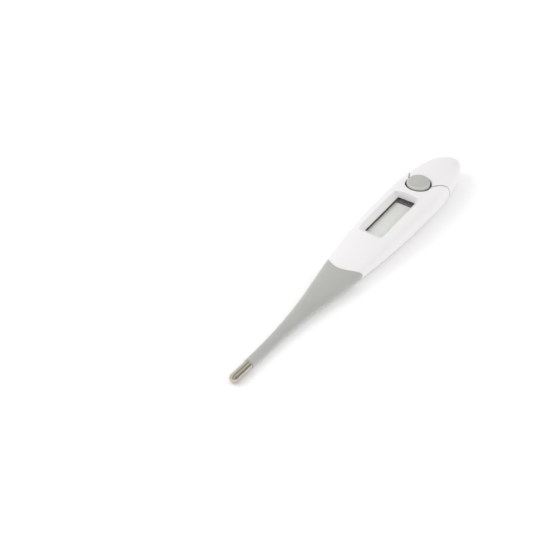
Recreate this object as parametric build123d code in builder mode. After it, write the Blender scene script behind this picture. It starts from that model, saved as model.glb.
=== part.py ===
from build123d import *
import math
import os

os.makedirs("parts", exist_ok=True)

# ---------------------------------------------------------------------------
# Flexible-neck digital thermometer, millimetres, +Z up.
# X runs along the length: the probe tip is at -X, the battery cover at +X.
# The origin is under the middle of the length, on the flat belly it rests on.
# ---------------------------------------------------------------------------

# Overall form
length = 140.0
tip_x = -length / 2
rear_x = length / 2
max_half_width = 9.5
body_top = 11.15
axis_z = 5.5                 # height of the rear end's widest line

# Rear end: a half ellipse in plan, quarter ellipses above and below in profile
plan_centre_x = 38.0
crown_centre_x = 48.0
keel_centre_x = 30.0

# Stations along the front of the form: x, half width, low, widest height, top, corner fullness.
# The neck arches a little clear of the table; a low under zero is cut off as the flat belly.
stations = [
    (-61.0, 1.78, 0.04, 1.75, 3.53, 0.552),
    (-52.0, 1.82, 0.08, 1.86, 3.68, 0.552),
    (-42.0, 2.13, 0.22, 2.20, 4.18, 0.552),
    (-34.0, 2.75, 0.28, 2.52, 4.72, 0.558),
    (-26.0, 3.70, 0.20, 2.78, 5.24, 0.580),
    (-18.0, 5.05, 0.02, 2.90, 5.80, 0.605),
    (-10.0, 6.35, -0.10, 3.35, 6.58, 0.620),
    (-2.0, 7.38, -0.22, 3.95, 7.72, 0.635),
    (6.0, 8.25, -0.30, 4.45, 8.85, 0.650),
    (16.0, 9.02, -0.30, 4.95, 9.85, 0.670),
    (27.0, 9.42, -0.30, 5.25, 10.50, 0.685),
    (plan_centre_x, max_half_width, -0.22, 5.45, 10.92, 0.690),
]

# Walls
wall = 1.2
front_wall = 2.3
nose_inset = 1.3
nose_front_x = -17.0
shoulder_x = -1.0
cavity_floor_z = 1.1

# Neck end: an elliptical lobe seen from the side, cut off square underneath
lobe_tip_x = -4.9
lobe_root_x = -11.5
lobe_z = 3.8
lobe_half_height = 3.1
neck_under_x = -9.4

# Steel cap and sensor
cap_radius = 1.68
cap_wall = 0.22
cap_open_x = -61.05
plug_front_x = -65.0
bore_radius = 0.80
bore_rear_z = 2.75
bead_x = -67.3
bead_radius = 0.62
wire_radius = 0.17
wire_spacing = 0.55
wire_end_x = 8.0
wire_end_z = 3.75

# Display window, on a plane that rises toward the button
window_x = 23.95
window_z = 7.87
window_tilt = 2.76
window_length = 22.4
window_width = 6.95
window_corner = 0.6
rim_depth = 0.35
pocket_height = 3.2          # where the pocket's slopes are measured, above the surface
pocket_front_run = 4.6
pocket_side_run = 2.7
pocket_rear_run = 0.6
pocket_wall = 1.1
gap = 0.02                   # clearance between stacked pieces

lens_margin = 0.8
lens_thickness = 0.8
mask_thickness = 0.35
mask_rear_strip = 1.9
mask_side_strip = 0.2
polariser_thickness = 0.2
glass_thickness = 1.1
board_depth = 3.6            # top of the circuit board below the window plane
board_thickness = 0.8
board_length = 40.5
board_width = 10.4
board_shift = 1.2            # centre of the board behind the centre of the window

# Button
button_x = 42.8
button_hole_radius = 4.75
button_radius = 4.18
button_tilt = 5.0            # its face rises toward the rear
button_seat_z = 11.0         # the heights below are measured from here, along its axis
button_crown = 1.25
button_shoulder = 1.0
button_shoulder_radius = 3.45
button_side_top = 0.4
flange_radius = 5.15
flange_low = -2.7
flange_thickness = 0.8
stem_radius = 1.2
press_gap = 0.1

# Battery cover, its spigot and seal
cover_x = 50.9
seam_gap = 0.24
tongue_floor_z = 5.5
spigot_rear_x = 54.3
spigot_front_x = 48.4
spigot_inset = 1.35
spigot_bore_inset = 2.2
seal_x = 52.5
seal_width = 0.9
seal_inset = 1.25
groove_inset = 1.75

# Sounder under the circuit board
sounder_x = 24.0
sounder_radius = 5.6
sounder_seat_height = 0.5

# Battery, LR41
cell_x = 57.0
cell_radius = 3.95
cell_height = 3.6
cell_low_z = 4.42
tray_floor_z = 3.5


# ---------------------------------------------------------------------------
# The outer form, as cross-sections that can be inset for walls
# ---------------------------------------------------------------------------

def along(x, column):
    """One column of the stations at x, by a smooth curve through them."""
    index = 0
    while index < len(stations) - 2 and x > stations[index + 1][0]:
        index += 1
    before = stations[max(index - 1, 0)]
    start = stations[index]
    end = stations[index + 1]
    after = stations[min(index + 2, len(stations) - 1)]
    span = end[0] - start[0]
    slope_in = (end[column] - before[column]) / (end[0] - before[0]) * span
    slope_out = (after[column] - start[column]) / (after[0] - start[0]) * span
    t = (x - start[0]) / span
    return (
        (2 * t**3 - 3 * t**2 + 1) * start[column]
        + (t**3 - 2 * t**2 + t) * slope_in
        + (-2 * t**3 + 3 * t**2) * end[column]
        + (t**3 - t**2) * slope_out
    )


def quarter_ellipse(x, centre, reach):
    """Height of a unit quarter ellipse that starts at centre and ends at reach."""
    if x <= centre:
        return 1.0
    return math.sqrt(max(0.0, 1.0 - ((x - centre) / (reach - centre)) ** 2))


def form_at(x):
    """Half width, low, widest height, top and fullness of the outer form at x."""
    if x <= plan_centre_x:
        return [along(x, column) for column in range(1, len(stations[0]))]
    half, low, wide, top, full = stations[-1][1:]
    blend = math.sin(math.pi / 2 * min(1.0, (x - plan_centre_x) / (crown_centre_x - plan_centre_x)))
    keel = quarter_ellipse(x, keel_centre_x, rear_x) / quarter_ellipse(plan_centre_x, keel_centre_x, rear_x)
    middle = wide + (axis_z - wide) * blend
    return [
        half * quarter_ellipse(x, plan_centre_x, rear_x),
        middle - (wide - low) * keel,
        middle,
        middle + (top + (body_top - top) * blend - middle) * quarter_ellipse(x, crown_centre_x, rear_x),
        full,
    ]


def section(x, inset):
    """Cross-section of the outer form at x, four quarter curves, moved in by inset."""
    half, low, wide, top, full = form_at(x)
    half -= inset
    low += inset
    top -= inset
    with BuildSketch(Plane(origin=(x, 0, 0), x_dir=(0, 1, 0), z_dir=(1, 0, 0))) as outline:
        with BuildLine():
            for sign_y, end_z in ((1, top), (1, low), (-1, low), (-1, top)):
                Bezier(
                    (0, end_z),
                    (sign_y * full * half, end_z),
                    (sign_y * half, wide + full * (end_z - wide)),
                    (sign_y * half, wide),
                )
        make_face()
    return outline.sketch


def sections(inset, cuts):
    """Cross-sections of the outer form, moved in by inset, at each of these cuts."""
    return [section(x, inset) for x in cuts]


# The whole outer form, round rear end included, flattened under the belly
front_cuts = [-61, -56, -50, -44, -38, -32, -26, -20, -14, -8, -2, 4, 10, 16, 22, 28, 33, 38]
rear_cuts = [43, 48, 53, 57, 60.5, 63.5, 66, 68, 69.2, 69.8]

form_sections = sections(0, front_cuts + rear_cuts)
rear_tip = Vertex(rear_x, 0, axis_z)

with BuildPart() as form:
    loft(form_sections + [rear_tip])
    split(bisect_by=Plane.XY, keep=Keep.TOP)

# The space inside the walls, and its narrower front end inside the nose
cavity_cuts = [shoulder_x, 4, 10, 16, 22, 28, 33, 38, 43, 48, 53, 57, 60.5, 63.5, 66, 67.6]
cavity_sections = sections(wall, cavity_cuts)
nose_hollow_sections = sections(front_wall, [nose_front_x, -13, -8, -4, shoulder_x + 0.5])

with BuildPart() as cavity:
    loft(cavity_sections)
    split(bisect_by=Plane.XY.offset(cavity_floor_z), keep=Keep.TOP)
    loft(nose_hollow_sections)

# ---------------------------------------------------------------------------
# Zones that divide the outer form into neck, housing and battery cover
# ---------------------------------------------------------------------------

with BuildPart() as neck_zone:
    with BuildSketch(Plane.XZ):
        with Locations(((tip_x + lobe_root_x) / 2, axis_z)):
            Rectangle(lobe_root_x - tip_x, 4 * axis_z)
        with Locations((lobe_root_x, lobe_z)):
            Ellipse(lobe_tip_x - lobe_root_x, lobe_half_height)
        with Locations(((tip_x + neck_under_x) / 2, -axis_z)):
            Rectangle(neck_under_x - tip_x, 2 * (lobe_z + axis_z))
    extrude(amount=length, both=True)

# Plan outline of the cover's tongue, from the button hole out to the sides
tongue_edge = [
    (43.3, 4.4),
    (45.4, 5.5),
    (47.1, 6.4),
    (48.9, 7.6),
    (50.1, 8.5),
    (cover_x, 9.7),
]
beyond_side = 2 * max_half_width
beyond_rear = rear_x + wall


def cover_region(clearance):
    """Everything behind the seam, moved back and in by clearance."""
    edge = [(x + clearance, y - clearance) for x, y in tongue_edge]
    front_x, front_y = edge[0]
    side_x, side_y = edge[-1]
    with BuildSketch(Plane.XY.offset(tongue_floor_z)) as tongue:
        with BuildLine():
            Spline(edge)
            Spline([(x, -y) for x, y in edge])
            Line((front_x, front_y), (front_x, -front_y))
            Polyline(
                (side_x, side_y),
                (side_x, beyond_side),
                (beyond_rear, beyond_side),
                (beyond_rear, -beyond_side),
                (side_x, -beyond_side),
                (side_x, -side_y),
            )
        make_face()
    extrude(tongue.sketch, amount=length)
    with BuildSketch(Plane.YZ.offset(side_x)) as rear:
        Rectangle(2 * beyond_side, 4 * body_top)
    extrude(rear.sketch, amount=length)


with BuildPart() as cover_zone:
    cover_region(0)

with BuildPart() as cover_body_zone:
    cover_region(seam_gap)

# ---------------------------------------------------------------------------
# Display window: frame plate, sloped pocket and opening
# ---------------------------------------------------------------------------

tilt = math.radians(window_tilt)
display_plane = Plane(
    origin=(window_x, 0, window_z),
    x_dir=(math.cos(tilt), 0, math.sin(tilt)),
    z_dir=(-math.sin(tilt), 0, math.cos(tilt)),
)


def pocket(grow, drop):
    """The sloped pocket around the window, grown by a wall, from drop below the window up."""
    mid_x = (pocket_rear_run - pocket_front_run) / 2
    top_length = window_length + pocket_front_run + pocket_rear_run + 2 * grow
    top_width = window_width + 2 * pocket_side_run + 2 * grow
    with BuildSketch(display_plane.offset(-drop)) as floor:
        RectangleRounded(window_length + 2 * grow, window_width + 2 * grow, window_corner + grow / 2)
    with BuildSketch(display_plane.offset(pocket_height)) as top:
        with Locations((mid_x, 0)):
            RectangleRounded(top_length, top_width, 3 * window_corner + grow)
    loft([floor.sketch, top.sketch])


with BuildPart() as window_pocket:
    pocket(0, 0)

with BuildPart() as window_frame:
    pocket(pocket_wall, rim_depth)
    add(form.part, mode=Mode.INTERSECT)

with BuildPart() as window_opening:
    with BuildSketch(display_plane.offset(-2 * rim_depth)):
        RectangleRounded(window_length, window_width, window_corner)
    extrude(amount=3 * rim_depth)

with BuildPart() as button_hole:
    with BuildSketch(Plane.XY.offset(axis_z)):
        with Locations((button_x, 0)):
            Circle(button_hole_radius)
    extrude(amount=body_top)

# ---------------------------------------------------------------------------
# Bore for the sensor wires, through the neck and into the housing's nose
# ---------------------------------------------------------------------------

probe_axis_z = stations[0][3]
bore_rear_x = nose_front_x + 0.2

with BuildPart() as wire_bore:
    with BuildSketch(Plane(origin=(plug_front_x, 0, probe_axis_z), z_dir=(1, 0, 0))):
        Circle(bore_radius)
    with BuildSketch(Plane(origin=(bore_rear_x, 0, bore_rear_z), z_dir=(1, 0, 0))):
        Circle(bore_radius)
    loft()

# ---------------------------------------------------------------------------
# Main housing
# ---------------------------------------------------------------------------

groove_cuts = [seal_x - seal_width / 2, seal_x, seal_x + seal_width / 2]
spigot_root_sections = sections(wall - 0.2, [spigot_front_x, 49.2, 50, cover_x])
spigot_ring_sections = sections(spigot_inset, [spigot_front_x, 49.4, 50.4, 51.4, 52.4, 53.4, spigot_rear_x])
spigot_bore_sections = sections(spigot_bore_inset, [47, 48, 49, 50, 51, 52, 53, 55])
groove_outer_sections = sections(spigot_inset - 0.3, groove_cuts)
groove_inner_sections = sections(groove_inset, groove_cuts)

with BuildPart() as spigot:
    loft(spigot_root_sections)
    add(cover_zone.part, mode=Mode.SUBTRACT)
    loft(spigot_ring_sections)
    loft(spigot_bore_sections, mode=Mode.SUBTRACT)

with BuildPart() as groove:
    loft(groove_outer_sections)
    loft(groove_inner_sections, mode=Mode.SUBTRACT)

nose_sections = sections(nose_inset, [nose_front_x - 1, -14, -10, -7, -3])

with BuildPart() as nose:
    loft(nose_sections)

# Ribs that carry the board's frame; the frame is tilted like the window
carrier_thickness = 0.8
carrier_depth = board_depth + board_thickness + gap + carrier_thickness
rib_width = 4.4
rib_thickness = 1.0
rib_gap = 0.08
rib_places = (9.0, 37.0)
footing = 0.1                # how deep ribs and seats are rooted in the floor
seat_ring = 0.7


def carrier_low(x):
    """Height of the underside of the board's frame at x."""
    return window_z + (x - window_x) * math.tan(tilt) - carrier_depth


with BuildPart() as main_housing:
    add(form.part)
    add(neck_zone.part, mode=Mode.SUBTRACT)
    add(nose.part)
    add(cavity.part, mode=Mode.SUBTRACT)
    for place in rib_places:
        with BuildSketch(Plane.XY.offset(cavity_floor_z - footing)):
            with Locations((place, 0)):
                Rectangle(rib_thickness, rib_width)
        extrude(amount=carrier_low(place) - rib_gap - cavity_floor_z + footing)
    # Ring seat for the sounder disc
    with BuildSketch(Plane.XY.offset(cavity_floor_z - footing)):
        with Locations((sounder_x, 0)):
            Circle(sounder_radius)
            Circle(sounder_radius - seat_ring, mode=Mode.SUBTRACT)
    extrude(amount=sounder_seat_height + footing)
    add(cover_zone.part, mode=Mode.SUBTRACT)
    add(spigot.part)
    add(groove.part, mode=Mode.SUBTRACT)
    add(window_frame.part)
    add(window_pocket.part, mode=Mode.SUBTRACT)
    add(window_opening.part, mode=Mode.SUBTRACT)
    add(button_hole.part, mode=Mode.SUBTRACT)
    add(wire_bore.part, mode=Mode.SUBTRACT)

main_housing.part.label = "main_housing"
export_step(main_housing.part, "parts/main_housing.step")

# ---------------------------------------------------------------------------
# Flexible neck
# ---------------------------------------------------------------------------

plug_radius = cap_radius - cap_wall - 0.03

with BuildPart() as flexible_neck:
    add(form.part)
    add(neck_zone.part, mode=Mode.INTERSECT)
    add(nose.part, mode=Mode.SUBTRACT)
    # Plug that the steel cap is pushed over
    with BuildSketch(Plane(origin=(plug_front_x, 0, probe_axis_z), z_dir=(1, 0, 0))):
        Circle(plug_radius)
    extrude(amount=stations[0][0] + 0.5 - plug_front_x)
    add(wire_bore.part, mode=Mode.SUBTRACT)

flexible_neck.part.label = "flexible_neck"
export_step(flexible_neck.part, "parts/flexible_neck.step")

# ---------------------------------------------------------------------------
# Probe: steel cap, sensor bead, potting and wires
# ---------------------------------------------------------------------------

probe_plane = Plane(origin=(0, 0, probe_axis_z), x_dir=(1, 0, 0), z_dir=(0, -1, 0))
cap_bore = cap_radius - cap_wall


def bullet(radius, nose_x, end_x, mode=Mode.ADD):
    """A round-ended rod on the probe's axis."""
    with BuildSketch(probe_plane) as outline:
        with BuildLine():
            Line((nose_x, 0), (end_x, 0))
            Line((end_x, 0), (end_x, radius))
            Line((end_x, radius), (nose_x + radius, radius))
            CenterArc((nose_x + radius, 0), radius, 90, 90)
        make_face()
    revolve(outline.sketch, axis=Axis((0, 0, probe_axis_z), (1, 0, 0)), mode=mode)


with BuildPart() as probe_cap:
    bullet(cap_radius, tip_x, cap_open_x)
    bullet(cap_bore, tip_x + cap_wall, cap_open_x + 1, Mode.SUBTRACT)

probe_cap.part.label = "probe_cap"
export_step(probe_cap.part, "parts/probe_cap.step")

with BuildPart() as thermistor_bead:
    with Locations((bead_x, 0, probe_axis_z)):
        Sphere(bead_radius)

thermistor_bead.part.label = "thermistor_bead"
export_step(thermistor_bead.part, "parts/thermistor_bead.step")

# Potting between the bead and the cap, open where the wires come in
potting_clearance = 0.01
potting_rear_x = plug_front_x - 0.1

with BuildPart() as thermal_potting:
    bullet(cap_bore - potting_clearance, tip_x + cap_wall + potting_clearance, potting_rear_x)
    with Locations((bead_x, 0, probe_axis_z)):
        Sphere(bead_radius + potting_clearance, mode=Mode.SUBTRACT)
    with BuildSketch(Plane(origin=(bead_x, 0, probe_axis_z), z_dir=(1, 0, 0))):
        Circle(bead_radius)
    extrude(amount=potting_rear_x - bead_x + 1, mode=Mode.SUBTRACT)

thermal_potting.part.label = "thermal_potting"
export_step(thermal_potting.part, "parts/thermal_potting.step")

# The two wires run from the bead through the bore and spread out toward the board
wire_start_x = bead_x + bead_radius + 0.1
wire_mid_x = -45.0
bore_rise = (bore_rear_z - probe_axis_z) / (bore_rear_x - plug_front_x)
wire_mid_z = probe_axis_z + bore_rise * (wire_mid_x - plug_front_x)

with BuildPart() as sensor_wires:
    for side in (-1, 1):
        with BuildLine() as wire_path:
            Spline(
                (wire_start_x, side * wire_spacing / 2, probe_axis_z),
                (wire_mid_x, side * wire_spacing / 2, wire_mid_z),
                (bore_rear_x, side * wire_spacing / 2, bore_rear_z),
                (-6, side * wire_spacing, 3.1),
                (wire_end_x, side * 2 * wire_spacing, wire_end_z),
            )
        with BuildSketch(Plane(origin=wire_path.line @ 0, z_dir=wire_path.line % 0)):
            Circle(wire_radius)
        sweep(path=wire_path.line)

sensor_wires.part.label = "sensor_wires"
export_step(sensor_wires.part, "parts/sensor_wires.step")

# ---------------------------------------------------------------------------
# Display stack, all on planes parallel to the window
# ---------------------------------------------------------------------------


def plate(size_x, size_y, top, thickness, shift=0.0, corner=0.4, mode=Mode.ADD):
    """A flat plate whose top lies this far below the window plane."""
    with BuildSketch(display_plane.offset(-top - thickness)) as outline:
        with Locations((shift, 0)):
            RectangleRounded(size_x, size_y, corner)
    extrude(outline.sketch, amount=thickness, mode=mode)


lens_top = rim_depth + gap
mask_top = lens_top + lens_thickness + gap
polariser_top = mask_top + mask_thickness + gap
glass_top = polariser_top + polariser_thickness + gap
reflector_top = glass_top + glass_thickness + gap
lens_length = window_length + 2 * lens_margin
lens_width = window_width + 2 * lens_margin
cell_length_x = window_length + 2.0
cell_width_y = 8.6
film_inset = 0.5             # films stop this far inside the ends of the glass
ledge = 1.3                  # how far the front glass reaches past the rear glass

with BuildPart() as display_lens:
    plate(lens_length, lens_width, lens_top, lens_thickness)

display_lens.part.label = "display_lens"
export_step(display_lens.part, "parts/display_lens.step")

mask_opening_length = window_length - mask_rear_strip
mask_opening_width = window_width - 2 * mask_side_strip

with BuildPart() as display_mask:
    plate(cell_length_x, cell_width_y, mask_top, mask_thickness)
    plate(
        mask_opening_length,
        mask_opening_width,
        mask_top - mask_thickness,
        3 * mask_thickness,
        -mask_rear_strip / 2,
        mode=Mode.SUBTRACT,
    )

display_mask.part.label = "display_mask"
export_step(display_mask.part, "parts/display_mask.step")

with BuildPart() as front_polariser:
    plate(cell_length_x - 2 * film_inset, cell_width_y - 2 * film_inset, polariser_top, polariser_thickness)

front_polariser.part.label = "front_polariser"
export_step(front_polariser.part, "parts/front_polariser.step")

# The front glass overhangs the rear glass, so its long edges reach the connectors
rear_glass_width = cell_width_y - 2 * ledge
rear_glass_top = glass_top + glass_thickness / 2

with BuildPart() as lcd_glass:
    plate(cell_length_x, cell_width_y, glass_top, glass_thickness / 2, corner=0.2)
    plate(cell_length_x, rear_glass_width, rear_glass_top, glass_thickness / 2, corner=0.2)

lcd_glass.part.label = "lcd_glass"
export_step(lcd_glass.part, "parts/lcd_glass.step")

with BuildPart() as rear_reflector:
    plate(cell_length_x - 2 * film_inset, rear_glass_width - 2 * gap, reflector_top, polariser_thickness)

rear_reflector.part.label = "rear_reflector"
export_step(rear_reflector.part, "parts/rear_reflector.step")

connector_top = rear_glass_top + gap
connector_width = 0.9
connector_length = cell_length_x - 3.0
connector_y = (cell_width_y - ledge) / 2

with BuildPart() as zebra_connectors:
    for side in (-1, 1):
        with BuildSketch(display_plane.offset(-board_depth + gap)):
            with Locations((0, side * connector_y)):
                Rectangle(connector_length, connector_width)
        extrude(amount=board_depth - gap - connector_top)

zebra_connectors.part.label = "zebra_connectors"
export_step(zebra_connectors.part, "parts/zebra_connectors.step")

# ---------------------------------------------------------------------------
# Circuit board and what is soldered to it
# ---------------------------------------------------------------------------

board_low = board_depth + board_thickness

board_corner = 0.8

with BuildPart() as circuit_board:
    plate(board_length, board_width, board_depth, board_thickness, board_shift, board_corner)

circuit_board.part.label = "circuit_board"
export_step(circuit_board.part, "parts/circuit_board.step")

blob_x = -8.3
blob_radius = 2.6
blob_height = 0.8
blob_rounding = 0.55

with BuildPart() as chip_blob:
    with BuildSketch(display_plane.offset(-board_low - blob_height)):
        with Locations((blob_x, 0)):
            Circle(blob_radius)
    extrude(amount=blob_height - gap)
    fillet(chip_blob.faces().sort_by(Axis.Z)[0].edges(), blob_rounding)

chip_blob.part.label = "chip_blob"
export_step(chip_blob.part, "parts/chip_blob.step")

# Chip components in two groups, either side of the blob and the sounder
component_length = 1.6
component_width = 0.8
component_height = 0.6
component_places = [(-12.5, 2.2), (-12.5, 0.4), (-12.5, -1.6), (9.7, 2.2), (9.7, -2.2)]

with BuildPart() as board_components:
    with BuildSketch(display_plane.offset(-board_low - component_height)):
        with Locations(component_places):
            Rectangle(component_length, component_width)
    extrude(amount=component_height - gap)

board_components.part.label = "board_components"
export_step(board_components.part, "parts/board_components.step")

# Carrier: a frame under the edges of the board, with cross bars on the housing's ribs
carrier_top = board_low + gap
carrier_length = board_length - 1.0
carrier_width = board_width - 1.0
carrier_side_bar = 1.3
carrier_end_bar = 1.5
cross_bar = 1.6

with BuildPart() as board_carrier:
    plate(carrier_length, carrier_width, carrier_top, carrier_thickness, board_shift, board_corner)
    plate(
        carrier_length - 2 * carrier_end_bar,
        carrier_width - 2 * carrier_side_bar,
        board_low - carrier_thickness,
        3 * carrier_thickness,
        board_shift,
        board_corner,
        Mode.SUBTRACT,
    )
    for place in rib_places:
        plate(
            cross_bar,
            carrier_width - carrier_side_bar,
            carrier_top,
            carrier_thickness,
            place - window_x,
            corner=0.2,
        )

board_carrier.part.label = "board_carrier"
export_step(board_carrier.part, "parts/board_carrier.step")

# ---------------------------------------------------------------------------
# Sounder: brass disc, ceramic disc and two springs
# ---------------------------------------------------------------------------

disc_low_z = cavity_floor_z + sounder_seat_height + gap
disc_thickness = 0.2
disc_radius = sounder_radius - 0.1
ceramic_low_z = disc_low_z + disc_thickness + gap
ceramic_thickness = 0.15
ceramic_radius = disc_radius - 1.6

with BuildPart() as sounder_disc:
    with BuildSketch(Plane.XY.offset(disc_low_z)):
        with Locations((sounder_x, 0)):
            Circle(disc_radius)
    extrude(amount=disc_thickness)

sounder_disc.part.label = "sounder_disc"
export_step(sounder_disc.part, "parts/sounder_disc.step")

with BuildPart() as sounder_ceramic:
    with BuildSketch(Plane.XY.offset(ceramic_low_z)):
        with Locations((sounder_x, 0)):
            Circle(ceramic_radius)
    extrude(amount=ceramic_thickness)

sounder_ceramic.part.label = "sounder_ceramic"
export_step(sounder_ceramic.part, "parts/sounder_ceramic.step")

# The springs carry the signal from the board down to the ceramic and the disc
spring_radius = 0.55
spring_wire = 0.11
spring_pitch = 0.42
disc_spring_x = sounder_x + ceramic_radius + spring_radius + 3 * spring_wire
spring_places = [(sounder_x, ceramic_low_z + ceramic_thickness + gap), (disc_spring_x, ceramic_low_z)]

with BuildPart() as sounder_springs:
    for place, foot_z in spring_places:
        board_z = window_z + (place - spring_radius - window_x) * math.tan(tilt) - board_low
        height = board_z - foot_z - 2 * spring_wire - 4 * gap
        coil = Pos(place, 0, foot_z + spring_wire + gap) * Helix(spring_pitch, height, spring_radius)
        with BuildSketch(Plane(origin=coil @ 0, z_dir=coil % 0)):
            Circle(spring_wire)
        sweep(path=coil, is_frenet=True)

sounder_springs.part.label = "sounder_springs"
export_step(sounder_springs.part, "parts/sounder_springs.step")

# ---------------------------------------------------------------------------
# Button, its sealing sleeve and the switch dome
# ---------------------------------------------------------------------------

lean = math.radians(button_tilt)
button_plane = Plane(
    origin=(button_x, 0, button_seat_z),
    x_dir=(math.cos(lean), 0, math.sin(lean)),
    z_dir=(0, -1, 0),
)
switch_z = window_z + (button_x - window_x) * math.tan(tilt) - board_depth
dome_height = 0.35
stem_low = switch_z + dome_height + press_gap - button_seat_z
flange_top = flange_low + flange_thickness

with BuildPart() as button_cap:
    with BuildSketch(button_plane) as profile:
        with BuildLine():
            crown = TangentArc((0, button_crown), (button_shoulder_radius, button_shoulder), tangent=(1, 0))
            TangentArc(crown @ 1, (button_radius, button_side_top), tangent=crown % 1)
            Polyline(
                (button_radius, button_side_top),
                (button_radius, flange_top),
                (flange_radius, flange_top),
                (flange_radius, flange_low),
                (stem_radius, flange_low),
                (stem_radius, stem_low),
                (0, stem_low),
                (0, button_crown),
            )
        make_face()
    revolve(axis=Axis((button_x, 0, button_seat_z), (-math.sin(lean), 0, math.cos(lean))))

button_cap.part.label = "button_cap"
export_step(button_cap.part, "parts/button_cap.step")

# A dome that snaps down on the board under the stem, and a silicone sleeve around it
button_shift = (button_x - window_x) / math.cos(tilt)
dome_radius = 2.2
dome_top_radius = 1.1
sleeve_radius = 3.7
sleeve_bore = 2.9
sleeve_top_plane = Plane(
    origin=(button_x, 0, button_seat_z + flange_low - gap),
    z_dir=(-math.sin(lean), 0, math.cos(lean)),
)

with BuildPart() as switch_dome:
    with BuildSketch(display_plane.offset(-board_depth + gap)):
        with Locations((button_shift, 0)):
            Circle(dome_radius)
    with BuildSketch(display_plane.offset(-board_depth + gap + dome_height)):
        with Locations((button_shift, 0)):
            Circle(dome_top_radius)
    loft()

switch_dome.part.label = "switch_dome"
export_step(switch_dome.part, "parts/switch_dome.step")

with BuildPart() as button_seal:
    with BuildSketch(display_plane.offset(-board_depth + gap)):
        with Locations((button_shift, 0)):
            Circle(sleeve_radius)
            Circle(sleeve_bore, mode=Mode.SUBTRACT)
    extrude(amount=body_top)
    split(bisect_by=sleeve_top_plane, keep=Keep.BOTTOM)

button_seal.part.label = "button_seal"
export_step(button_seal.part, "parts/button_seal.step")

# ---------------------------------------------------------------------------
# Battery cover and its seal
# ---------------------------------------------------------------------------

with BuildPart() as battery_cover:
    add(form.part)
    add(cover_body_zone.part, mode=Mode.INTERSECT)
    add(cavity.part, mode=Mode.SUBTRACT)
    add(button_hole.part, mode=Mode.SUBTRACT)

battery_cover.part.label = "battery_cover"
export_step(battery_cover.part, "parts/battery_cover.step")

seal_cuts = [groove_cuts[0] + gap, seal_x, groove_cuts[-1] - gap]
seal_outer_sections = sections(seal_inset, seal_cuts)
seal_inner_sections = sections(groove_inset - gap, groove_cuts)

with BuildPart() as cover_seal:
    loft(seal_outer_sections)
    loft(seal_inner_sections, mode=Mode.SUBTRACT)

cover_seal.part.label = "cover_seal"
export_step(cover_seal.part, "parts/cover_seal.step")

# ---------------------------------------------------------------------------
# Battery, tray and contacts
# ---------------------------------------------------------------------------

tray_wall = 0.6
tray_floor = 0.65
tray_wall_height = 3.2
cell_clearance = 0.05
tray_radius = cell_radius + tray_wall + cell_clearance
tongue_length = 5.5
tongue_width = 6.4
tongue_overlap = 1.2
tongue_x = cell_x - tray_radius - tongue_length / 2 + tongue_overlap
strip = 0.2
strip_width = 1.5
strip_y = 1.7
doorway_width = 2 * strip_y + strip_width + 0.4
cell_rounding = 0.35

with BuildPart() as battery_tray:
    with BuildSketch(Plane.XY.offset(tray_floor_z)):
        with Locations((cell_x, 0)):
            Circle(tray_radius)
        with Locations((tongue_x, 0)):
            Rectangle(tongue_length, tongue_width)
    extrude(amount=tray_floor)
    with BuildSketch(Plane.XY.offset(tray_floor_z)):
        with Locations((cell_x, 0)):
            Circle(tray_radius)
            Circle(cell_radius + cell_clearance, mode=Mode.SUBTRACT)
    extrude(amount=tray_wall_height)
    # Doorway in the front of the wall for the contact strips
    with BuildSketch(Plane.XY.offset(tray_floor_z + tray_floor)):
        with Locations((cell_x - tray_radius, 0)):
            Rectangle(tray_radius, doorway_width)
    extrude(amount=tray_wall_height, mode=Mode.SUBTRACT)

battery_tray.part.label = "battery_tray"
export_step(battery_tray.part, "parts/battery_tray.step")

with BuildPart() as battery_cell:
    with BuildSketch(Plane.XY.offset(cell_low_z)):
        with Locations((cell_x, 0)):
            Circle(cell_radius)
    extrude(amount=cell_height)
    fillet(battery_cell.edges().filter_by(GeomType.CIRCLE), cell_rounding)

battery_cell.part.label = "battery_cell"
export_step(battery_cell.part, "parts/battery_cell.step")

# The negative strip lies on the tray's floor, the positive one stands up and over the cell
floor_top_z = tray_floor_z + tray_floor + gap
cell_top_z = cell_low_z + cell_height
negative_length = 5.4
negative_x = cell_x - 3.4
positive_front_x = cell_x - tray_radius - 1.6
positive_rear_x = cell_x + 1.0

with BuildPart() as negative_contact:
    with BuildSketch(Plane.XY.offset(floor_top_z)):
        with Locations((negative_x, -strip_y)):
            Rectangle(negative_length, strip_width)
    extrude(amount=strip)

negative_contact.part.label = "negative_contact"
export_step(negative_contact.part, "parts/negative_contact.step")

with BuildPart() as positive_contact:
    with BuildSketch(Plane.XZ.offset(-strip_y - strip_width / 2)):
        Polygon(
            (positive_front_x, floor_top_z),
            (positive_front_x + strip, floor_top_z),
            (positive_front_x + strip, cell_top_z + gap),
            (positive_rear_x, cell_top_z + gap),
            (positive_rear_x, cell_top_z + gap + strip),
            (positive_front_x, cell_top_z + gap + strip),
            align=None,
        )
    extrude(amount=strip_width)

positive_contact.part.label = "positive_contact"
export_step(positive_contact.part, "parts/positive_contact.step")
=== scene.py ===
import math

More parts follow.
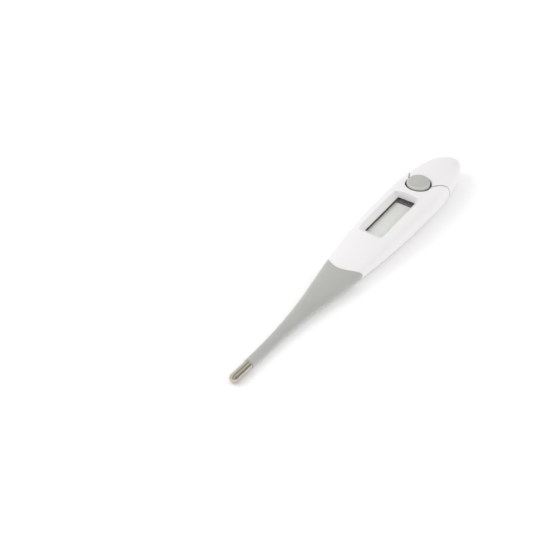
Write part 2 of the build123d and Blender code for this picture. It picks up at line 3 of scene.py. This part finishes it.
import bmesh
import bpy
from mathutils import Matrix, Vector


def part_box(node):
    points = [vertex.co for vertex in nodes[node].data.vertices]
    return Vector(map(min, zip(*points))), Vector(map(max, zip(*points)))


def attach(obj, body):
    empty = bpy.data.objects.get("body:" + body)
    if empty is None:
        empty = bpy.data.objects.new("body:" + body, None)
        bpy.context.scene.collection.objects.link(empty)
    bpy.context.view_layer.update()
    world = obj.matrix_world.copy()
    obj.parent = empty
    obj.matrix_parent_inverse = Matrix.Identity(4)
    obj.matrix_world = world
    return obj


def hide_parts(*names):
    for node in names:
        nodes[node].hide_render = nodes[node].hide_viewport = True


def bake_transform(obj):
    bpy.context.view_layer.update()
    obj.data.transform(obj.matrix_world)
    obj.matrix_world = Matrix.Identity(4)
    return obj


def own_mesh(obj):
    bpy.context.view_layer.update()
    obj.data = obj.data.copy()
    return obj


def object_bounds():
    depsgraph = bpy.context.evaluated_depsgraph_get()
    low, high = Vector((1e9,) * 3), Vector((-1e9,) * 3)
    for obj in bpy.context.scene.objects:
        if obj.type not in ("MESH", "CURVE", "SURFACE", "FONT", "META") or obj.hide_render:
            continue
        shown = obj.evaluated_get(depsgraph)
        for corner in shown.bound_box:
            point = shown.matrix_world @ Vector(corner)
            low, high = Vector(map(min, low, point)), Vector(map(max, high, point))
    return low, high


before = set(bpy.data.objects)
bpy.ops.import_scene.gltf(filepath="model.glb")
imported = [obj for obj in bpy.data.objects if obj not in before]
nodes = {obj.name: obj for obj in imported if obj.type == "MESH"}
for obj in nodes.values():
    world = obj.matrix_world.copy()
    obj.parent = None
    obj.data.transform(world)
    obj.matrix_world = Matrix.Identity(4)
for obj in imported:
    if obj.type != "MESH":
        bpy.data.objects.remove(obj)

cad_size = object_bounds()
MM = 0.001

# ---------------------------------------------------------------------------
# Node material helpers
# ---------------------------------------------------------------------------


def new_material(name, color, roughness, metallic=0.0):
    """A material whose main shader has these values, and the tools to wire more into it."""
    material = bpy.data.materials.new(name)
    material.use_nodes = True
    tree = material.node_tree
    shader = tree.nodes["Principled BSDF"]
    shader.inputs["Base Color"].default_value = (*color, 1.0)
    shader.inputs["Roughness"].default_value = roughness
    shader.inputs["Metallic"].default_value = metallic
    return material, tree, shader


def coordinates(tree, stretch=(1.0, 1.0, 1.0)):
    """Object coordinates, stretched along each axis."""
    source = tree.nodes.new("ShaderNodeTexCoord")
    mapping = tree.nodes.new("ShaderNodeMapping")
    mapping.inputs["Scale"].default_value = stretch
    tree.links.new(source.outputs["Object"], mapping.inputs["Vector"])
    return mapping.outputs["Vector"]


def noise(tree, scale, detail=3.0, roughness=0.55, stretch=(1.0, 1.0, 1.0)):
    """Noise with features about 1/scale of a metre across."""
    texture = tree.nodes.new("ShaderNodeTexNoise")
    texture.inputs["Scale"].default_value = scale
    texture.inputs["Detail"].default_value = detail
    texture.inputs["Roughness"].default_value = roughness
    tree.links.new(coordinates(tree, stretch), texture.inputs["Vector"])
    return texture.outputs["Fac"]


def spread(tree, value, low, high, from_low=0.3, from_high=0.7):
    """value mapped from one range to another."""
    node = tree.nodes.new("ShaderNodeMapRange")
    node.inputs["From Min"].default_value = from_low
    node.inputs["From Max"].default_value = from_high
    node.inputs["To Min"].default_value = low
    node.inputs["To Max"].default_value = high
    tree.links.new(value, node.inputs["Value"])
    return node.outputs["Result"]


def mix_color(tree, factor, first, second):
    """Two colours, or a colour and a socket, mixed by factor."""
    node = tree.nodes.new("ShaderNodeMix")
    node.data_type = "RGBA"
    tree.links.new(factor, node.inputs["Factor"])
    for socket, color in ((node.inputs[6], first), (node.inputs[7], second)):
        if isinstance(color, tuple):
            socket.default_value = (*color, 1.0)
        else:
            tree.links.new(color, socket)
    return node.outputs[2]


def bump(tree, shader, height, strength, distance):
    """Adds a bump of this depth in metres to the shader, over any bump it has already."""
    node = tree.nodes.new("ShaderNodeBump")
    node.inputs["Strength"].default_value = strength
    node.inputs["Distance"].default_value = distance
    tree.links.new(height, node.inputs["Height"])
    normal = shader.inputs["Normal"]
    if normal.is_linked:
        tree.links.new(normal.links[0].from_socket, node.inputs["Normal"])
    tree.links.new(node.outputs["Normal"], normal)


def ease_edges(tree, shader, radius):
    """Lets edges shade as if rounded by this radius in metres. Comes before any bump."""
    node = tree.nodes.new("ShaderNodeBevel")
    node.samples = 6
    node.inputs["Radius"].default_value = radius
    tree.links.new(node.outputs["Normal"], shader.inputs["Normal"])


# How open a spot has to be to keep its colour, and how closed to lose it to painted shade
OPEN_SKY = 0.5
CLOSED_SKY = 0.22


def paint_gap_shade(tree, shader, reach, shade):
    """Paints shade into the base colour, darkening it toward shade inside gaps up to this reach in
    metres.
    """
    node = tree.nodes.new("ShaderNodeAmbientOcclusion")
    node.samples = 8
    node.inputs["Distance"].default_value = reach
    base = shader.inputs["Base Color"]
    closed = spread(tree, node.outputs["AO"], 1.0, 0.0, CLOSED_SKY, OPEN_SKY)
    tree.links.new(mix_color(tree, closed, base.links[0].from_socket, shade), base)


def streaks(tree, scale, width):
    """Random streaks along X, 1 inside one and 0 outside, with edges as soft as width."""
    patches = noise(tree, scale, 2.0, 0.5, (0.25, 1.0, 1.0))
    return spread(tree, patches, 1.0, 0.0, 0.5, 0.5 + width)


# ---------------------------------------------------------------------------
# Materials
# ---------------------------------------------------------------------------


def white_abs():
    """Injection-moulded white: soft gloss with faint streaks, and a trace of orange peel."""
    material, tree, shader = new_material("white_abs", (0.82, 0.81, 0.81), 0.32)
    ease_edges(tree, shader, 0.16 * MM)
    patches = noise(tree, 45, 4)
    tone = mix_color(tree, spread(tree, patches, 0, 1), (0.825, 0.815, 0.812), (0.80, 0.787, 0.79))
    tree.links.new(tone, shader.inputs["Base Color"])
    gloss = noise(tree, 350, 5, 0.6)
    marks = streaks(tree, 420, 0.006)
    rough = tree.nodes.new("ShaderNodeMath")
    rough.operation = "ADD"
    tree.links.new(spread(tree, gloss, 0.28, 0.38), rough.inputs[0])
    tree.links.new(spread(tree, marks, 0.0, 0.08, 0.0, 1.0), rough.inputs[1])
    tree.links.new(rough.outputs["Value"], shader.inputs["Roughness"])
    shader.inputs["Subsurface Weight"].default_value = 0.15
    shader.inputs["Subsurface Radius"].default_value = (1.0, 0.85, 0.8)
    shader.inputs["Subsurface Scale"].default_value = 0.7 * MM
    shader.inputs["IOR"].default_value = 1.5
    # Painted shade: seams and gaps in the white plastic are darkened toward warm grey
    paint_gap_shade(tree, shader, 1.2 * MM, (0.20, 0.18, 0.17))
    bump(tree, shader, noise(tree, 700, 2), 0.06, 0.012 * MM)
    return material


def grey_tpe():
    """Soft-touch elastomer: matte, faintly mottled, with a fine grain and a dusty sheen."""
    material, tree, shader = new_material("grey_tpe", (0.40, 0.40, 0.38), 0.6)
    ease_edges(tree, shader, 0.12 * MM)
    patches = noise(tree, 90, 5)
    tone = mix_color(tree, spread(tree, patches, 0, 1), (0.42, 0.425, 0.402), (0.39, 0.395, 0.373))
    tree.links.new(tone, shader.inputs["Base Color"])
    tree.links.new(spread(tree, noise(tree, 420, 4), 0.52, 0.66), shader.inputs["Roughness"])
    shader.inputs["Sheen Weight"].default_value = 0.75
    shader.inputs["Sheen Roughness"].default_value = 0.45
    shader.inputs["Specular IOR Level"].default_value = 0.4
    shader.inputs["Subsurface Weight"].default_value = 0.06
    shader.inputs["Subsurface Scale"].default_value = 0.5 * MM
    bump(tree, shader, noise(tree, 2600, 3, 0.6), 0.2, 0.012 * MM)
    return material


def probe_steel():
    """Polished stainless steel with hair-fine polishing lines round the probe's axis."""
    material, tree, shader = new_material("probe_steel", (0.60, 0.56, 0.50), 0.12, 1.0)
    rings = noise(tree, 900, 3, 0.5, (6.0, 0.3, 0.3))
    tree.links.new(spread(tree, rings, 0.09, 0.17), shader.inputs["Roughness"])
    smudges = noise(tree, 260, 4)
    tone = mix_color(tree, spread(tree, smudges, 0, 1), (0.61, 0.555, 0.475), (0.55, 0.50, 0.43))
    tree.links.new(tone, shader.inputs["Base Color"])
    bump(tree, shader, rings, 0.02, 0.002 * MM)
    return material


def rim_highlight_mask(tree, node, inner, outer):
    """0 in the middle of a round part and 1 at its edge, between these radii, where a highlight is
    painted.
    """
    low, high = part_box(node)
    offset = tree.nodes.new("ShaderNodeVectorMath")
    offset.operation = "SUBTRACT"
    offset.inputs[1].default_value = ((low.x + high.x) / 2, (low.y + high.y) / 2, 0)
    tree.links.new(coordinates(tree), offset.inputs[0])
    flat = tree.nodes.new("ShaderNodeVectorMath")
    flat.operation = "MULTIPLY"
    flat.inputs[1].default_value = (1, 1, 0)
    tree.links.new(offset.outputs["Vector"], flat.inputs[0])
    radius = tree.nodes.new("ShaderNodeVectorMath")
    radius.operation = "LENGTH"
    tree.links.new(flat.outputs["Vector"], radius.inputs[0])
    return spread(tree, radius.outputs["Value"], 0.0, 1.0, inner, outer)


def button_grey():
    """Satin grey plastic, a shade darker in patches of its grain, with a painted highlight round its
    rim and painted shade in the gap round it.
    """
    material, tree, shader = new_material("button_grey", (0.46, 0.47, 0.44), 0.42)
    ease_edges(tree, shader, 0.12 * MM)
    patches = noise(tree, 260, 4)
    tone = mix_color(tree, spread(tree, patches, 0, 1), (0.465, 0.47, 0.445), (0.43, 0.435, 0.41))
    # Painted highlight: the rim of the button is painted lighter
    rim_highlight = rim_highlight_mask(tree, "button_cap", 3.7 * MM, 4.0 * MM)
    tree.links.new(mix_color(tree, rim_highlight, tone, (0.53, 0.525, 0.50)), shader.inputs["Base Color"])
    tree.links.new(spread(tree, noise(tree, 900, 4), 0.36, 0.48), shader.inputs["Roughness"])
    # Painted shade: the gap round the button is darkened almost to black
    paint_gap_shade(tree, shader, 1.6 * MM, (0.05, 0.045, 0.04))
    bump(tree, shader, noise(tree, 1800, 3), 0.15, 0.012 * MM)
    return material


def plain(name, color, roughness, metallic=0.0, grain=1200, variation=0.06, depth=0.01):
    """A simple finish that still varies in tone, gloss and surface."""
    material, tree, shader = new_material(name, color, roughness, metallic)
    dark = tuple(c * (1 - variation) for c in color)
    light = tuple(min(1.0, c * (1 + variation)) for c in color)
    tone = mix_color(tree, spread(tree, noise(tree, grain / 6, 4), 0, 1), dark, light)
    tree.links.new(tone, shader.inputs["Base Color"])
    gloss = spread(tree, noise(tree, grain, 3), roughness * 0.85, min(1.0, roughness * 1.2))
    tree.links.new(gloss, shader.inputs["Roughness"])
    bump(tree, shader, noise(tree, grain, 3), 0.2, depth * MM)
    return material


def clear_lens():
    """Clear acrylic with a faint, streaky haze."""
    material, tree, shader = new_material("clear_lens", (0.97, 0.98, 0.975), 0.05)
    shader.inputs["Transmission Weight"].default_value = 1.0
    shader.inputs["IOR"].default_value = 1.49
    tree.links.new(
        spread(tree, streaks(tree, 700, 0.02), 0.02, 0.12, 0.0, 1.0),
        shader.inputs["Roughness"],
    )
    # Light that falls on the display passes straight through
    paths = tree.nodes.new("ShaderNodeLightPath")
    open_air = tree.nodes.new("ShaderNodeBsdfTransparent")
    pick = tree.nodes.new("ShaderNodeMixShader")
    lit = tree.nodes.new("ShaderNodeMath")
    lit.operation = "MAXIMUM"
    tree.links.new(paths.outputs["Is Shadow Ray"], lit.inputs[0])
    tree.links.new(paths.outputs["Is Diffuse Ray"], lit.inputs[1])
    tree.links.new(lit.outputs["Value"], pick.inputs["Fac"])
    tree.links.new(shader.outputs["BSDF"], pick.inputs[1])
    tree.links.new(open_air.outputs["BSDF"], pick.inputs[2])
    tree.links.new(pick.outputs["Shader"], tree.nodes["Material Output"].inputs["Surface"])
    return material


def lcd_field():
    """The display's grey-green field, lighter toward the probe, with a painted shadow of the rim along
    its left edge.
    """
    material, tree, shader = new_material("lcd_field", (0.78, 0.80, 0.76), 0.35)
    place = tree.nodes.new("ShaderNodeSeparateXYZ")
    tree.links.new(coordinates(tree), place.inputs["Vector"])
    low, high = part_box("front_polariser")
    along = spread(tree, place.outputs["X"], 0.0, 1.0, low.x, high.x)
    field = mix_color(tree, along, (0.81, 0.82, 0.785), (0.715, 0.72, 0.69))
    # Painted shadow: the field darkens toward grey under the rim's left edge
    rim_shadow = spread(tree, place.outputs["Y"], 0.0, 0.3, high.y - 2.2 * MM, high.y - 0.5 * MM)
    field = mix_color(tree, rim_shadow, field, (0.30, 0.30, 0.30))
    tone = mix_color(tree, spread(tree, noise(tree, 300, 3), 0, 0.1), field, (0.66, 0.68, 0.645))
    tree.links.new(tone, shader.inputs["Base Color"])
    tree.links.new(spread(tree, noise(tree, 3000, 2), 0.28, 0.4), shader.inputs["Roughness"])
    bump(tree, shader, noise(tree, 5000, 2), 0.05, 0.005 * MM)
    return material


def banded_rubber():
    """Conductive rubber in thin light and dark bands."""
    material, tree, shader = new_material("connector_rubber", (0.1, 0.1, 0.1), 0.6)
    wave = tree.nodes.new("ShaderNodeTexWave")
    wave.inputs["Scale"].default_value = 2500
    tree.links.new(coordinates(tree), wave.inputs["Vector"])
    tone = mix_color(tree, wave.outputs["Fac"], (0.02, 0.02, 0.02), (0.55, 0.56, 0.6))
    tree.links.new(tone, shader.inputs["Base Color"])
    bump(tree, shader, wave.outputs["Fac"], 0.2, 0.02 * MM)
    return material


abs_white = white_abs()
field = lcd_field()
carrier_white = plain("carrier_abs", (0.78, 0.78, 0.75), 0.45)
nickel = plain("contact_nickel", (0.75, 0.73, 0.69), 0.25, 1.0)
spring = plain("spring_steel", (0.62, 0.62, 0.63), 0.3, 1.0)
tpe = grey_tpe()

finishes = {
    "main_housing": abs_white,
    "battery_cover": abs_white,
    "flexible_neck": tpe,
    "probe_cap": probe_steel(),
    "display_lens": clear_lens(),
    "display_mask": plain("black_mask", (0.035, 0.025, 0.025), 0.5),
    "front_polariser": field,
    "lcd_glass": plain("lcd_glass", (0.60, 0.64, 0.60), 0.1),
    "rear_reflector": plain("reflector_film", (0.70, 0.72, 0.69), 0.4),
    "zebra_connectors": banded_rubber(),
    "circuit_board": plain("board_green", (0.03, 0.16, 0.06), 0.35),
    "chip_blob": plain("chip_resin", (0.015, 0.015, 0.015), 0.2),
    "board_components": plain("chip_ceramic", (0.42, 0.27, 0.16), 0.4),
    "board_carrier": carrier_white,
    "sounder_disc": plain("sounder_brass", (0.72, 0.50, 0.20), 0.28, 1.0),
    "sounder_ceramic": plain("sounder_silver", (0.75, 0.75, 0.73), 0.35, 0.6),
    "sounder_springs": spring,
    "button_cap": button_grey(),
    "button_seal": plain("silicone", (0.70, 0.70, 0.68), 0.5),
    "switch_dome": spring,
    "cover_seal": plain("seal_rubber", (0.06, 0.06, 0.06), 0.6),
    "battery_tray": carrier_white,
    "battery_cell": plain("cell_steel", (0.72, 0.72, 0.72), 0.22, 1.0),
    "positive_contact": nickel,
    "negative_contact": nickel,
    "thermistor_bead": plain("bead_glass", (0.08, 0.05, 0.03), 0.15),
    "thermal_potting": plain("potting_resin", (0.68, 0.65, 0.55), 0.3),
    "sensor_wires": plain("wire_enamel", (0.45, 0.12, 0.05), 0.25),
}


for name, node in nodes.items():
    node.data.materials.clear()
    node.data.materials.append(finishes[name])

# ---------------------------------------------------------------------------
# Soft pieces: they take the place of their CAD solids
# ---------------------------------------------------------------------------

SHARP = math.radians(32)


def soft_copy(node, name, cuts):
    """A welded, smooth-shaded mesh of a CAD node, cut across at each x in cuts so it can bend."""
    mesh = bmesh.new()
    mesh.from_mesh(nodes[node].data)
    bmesh.ops.remove_doubles(mesh, verts=mesh.verts, dist=0.0005 * MM)
    for x in cuts:
        bmesh.ops.bisect_plane(
            mesh,
            geom=mesh.verts[:] + mesh.edges[:] + mesh.faces[:],
            dist=0.0001 * MM,
            plane_co=(x, 0, 0),
            plane_no=(1, 0, 0),
        )
    data = bpy.data.meshes.new(name)
    mesh.to_mesh(data)
    mesh.free()
    data.shade_smooth()
    data.set_sharp_from_angle(angle=SHARP)
    data.materials.append(finishes[node])
    piece = bpy.data.objects.new(name, data)
    bpy.context.scene.collection.objects.link(piece)
    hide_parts(node)
    return piece


# The neck and the wires in it are cut across from the housing's nose on
CUT_START = -60 * MM
CUT_SPACING = 0.8 * MM
CUT_COUNT = 58
bend_cuts = [CUT_START + CUT_SPACING * step for step in range(CUT_COUNT)]

for node, name in (("flexible_neck", "neck_skin"), ("sensor_wires", "wire_pair")):
    piece = soft_copy(node, name, bend_cuts)
    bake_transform(piece)

# The seal and the display's connectors only stay where they are pressed
for node, name in (("cover_seal", "seal_ring"), ("zebra_connectors", "connector_strips")):
    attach(soft_copy(node, name, []), "housing")

# The sleeve and the snap dome ride on the housing, each with a mesh of its own
for node, name, keep in (("button_seal", "button_sleeve", 0.82), ("switch_dome", "snap_dome", 0.1)):
    piece = soft_copy(node, name, [])
    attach(piece, "housing")
    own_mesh(piece)

# ---------------------------------------------------------------------------
# Stage: floor, light and camera
# ---------------------------------------------------------------------------


FLOOR_HALF_SIZE = 3.0
FLOOR_GAP = 0.02 * MM


def make_floor():
    """A pale floor just under the object, glowing faintly: painted light that lifts the shadows round
    it.
    """
    mesh = bmesh.new()
    bmesh.ops.create_grid(mesh, x_segments=8, y_segments=8, size=FLOOR_HALF_SIZE)
    data = bpy.data.meshes.new("floor")
    mesh.to_mesh(data)
    mesh.free()
    floor = bpy.data.objects.new("floor", data)
    floor.location = (0, 0, cad_size[0].z - FLOOR_GAP)
    bpy.context.scene.collection.objects.link(floor)
    material, tree, shader = new_material("floor", (0.86, 0.86, 0.86), 0.7)
    # Painted light: the floor glows faintly, though it is no lamp
    shader.inputs["Emission Color"].default_value = (1.0, 0.985, 0.98, 1)
    shader.inputs["Emission Strength"].default_value = 0.14
    tree.links.new(spread(tree, noise(tree, 40, 2), 0.65, 0.75), shader.inputs["Roughness"])
    data.materials.append(material)


def area_light(name, place, aim, size, power):
    """A soft square light at place that faces aim."""
    data = bpy.data.lights.new(name, "AREA")
    data.shape = "SQUARE"
    data.size = size
    data.energy = power
    light = bpy.data.objects.new(name, data)
    light.visible_glossy = False
    light.location = place
    light.rotation_euler = (Vector(aim) - Vector(place)).to_track_quat("-Z", "Y").to_euler()
    bpy.context.scene.collection.objects.link(light)


# Brightness of the painted reflections that shiny parts mirror, from -Y at 0 to +Y at 1
REFLECTION_ONLY_STRIPS = (
    (0.0, 0.5),
    (0.12, 0.36),
    (0.18, 0.42),
    (0.27, 0.88),
    (0.42, 0.88),
    (0.55, 0.26),
    (0.62, 0.7),
    (0.85, 1.1),
)


def make_world(strength):
    """Even white light. Shiny parts mirror two darker strips that only reflections see: painted
    reflections, which light nothing.
    """
    world = bpy.data.worlds.new("studio")
    world.use_nodes = True
    tree = world.node_tree
    background = tree.nodes["Background"]
    background.inputs["Strength"].default_value = strength
    place = tree.nodes.new("ShaderNodeSeparateXYZ")
    direction = tree.nodes.new("ShaderNodeTexCoord")
    tree.links.new(direction.outputs["Generated"], place.inputs["Vector"])
    ramp = tree.nodes.new("ShaderNodeValToRGB")
    across = spread(tree, place.outputs["Y"], 0.0, 1.0, -1.0, 1.0)
    points = ramp.color_ramp.elements
    while len(points) < len(REFLECTION_ONLY_STRIPS):
        points.new(0.5)
    for point, (position, level) in zip(points, REFLECTION_ONLY_STRIPS):
        point.position = position
        point.color = (level, level, level, 1)
    tree.links.new(across, ramp.inputs["Fac"])
    paths = tree.nodes.new("ShaderNodeLightPath")
    # Painted reflection: glossy rays see the striped ramp, all other rays plain white
    seen = mix_color(tree, paths.outputs["Is Glossy Ray"], (1.0, 1.0, 1.0), ramp.outputs["Color"])
    tree.links.new(seen, background.inputs["Color"])
    bpy.context.scene.world = world


CAMERA_AZIMUTH = -54.92
CAMERA_ELEVATION = 38.72
CAMERA_DISTANCE = 505.0 * MM
CAMERA_SHIFT = (-29.3 * MM, 1.0 * MM)


def make_camera():
    """Looks down at the probe end from its left, with the object right of the middle."""
    azimuth, elevation = math.radians(CAMERA_AZIMUTH), math.radians(CAMERA_ELEVATION)
    back = Vector((
        math.sin(azimuth) * math.cos(elevation),
        -math.cos(azimuth) * math.cos(elevation),
        math.sin(elevation),
    ))
    right = Vector((math.cos(azimuth), math.sin(azimuth), 0))
    up = back.cross(right)
    data = bpy.data.cameras.new("camera")
    data.lens = 100.0
    data.sensor_width = 36.0
    data.clip_start = 0.01
    camera = bpy.data.objects.new("camera", data)
    low, high = cad_size
    middle = Vector(((low.x + high.x) / 2, (low.y + high.y) / 2, low.z))
    camera.location = middle + right * CAMERA_SHIFT[0] + up * CAMERA_SHIFT[1] + back * CAMERA_DISTANCE
    camera.rotation_euler = (-back).to_track_quat("-Z", "Y").to_euler()
    bpy.context.scene.collection.objects.link(camera)
    bpy.context.scene.camera = camera


make_floor()
make_world(0.87)
area_light("key", place=(-0.28, 0.5, 0.58), aim=(0, 0, 0), size=0.5, power=1.85)
area_light("fill", place=(-0.5, -0.6, 0.35), aim=(0, 0, 0), size=0.6, power=0.5)
area_light("side", place=(0.45, -0.6, 0.22), aim=(0.03, 0, 0), size=0.5, power=0.8)
make_camera()
bpy.context.scene.view_settings.view_transform = "Standard"
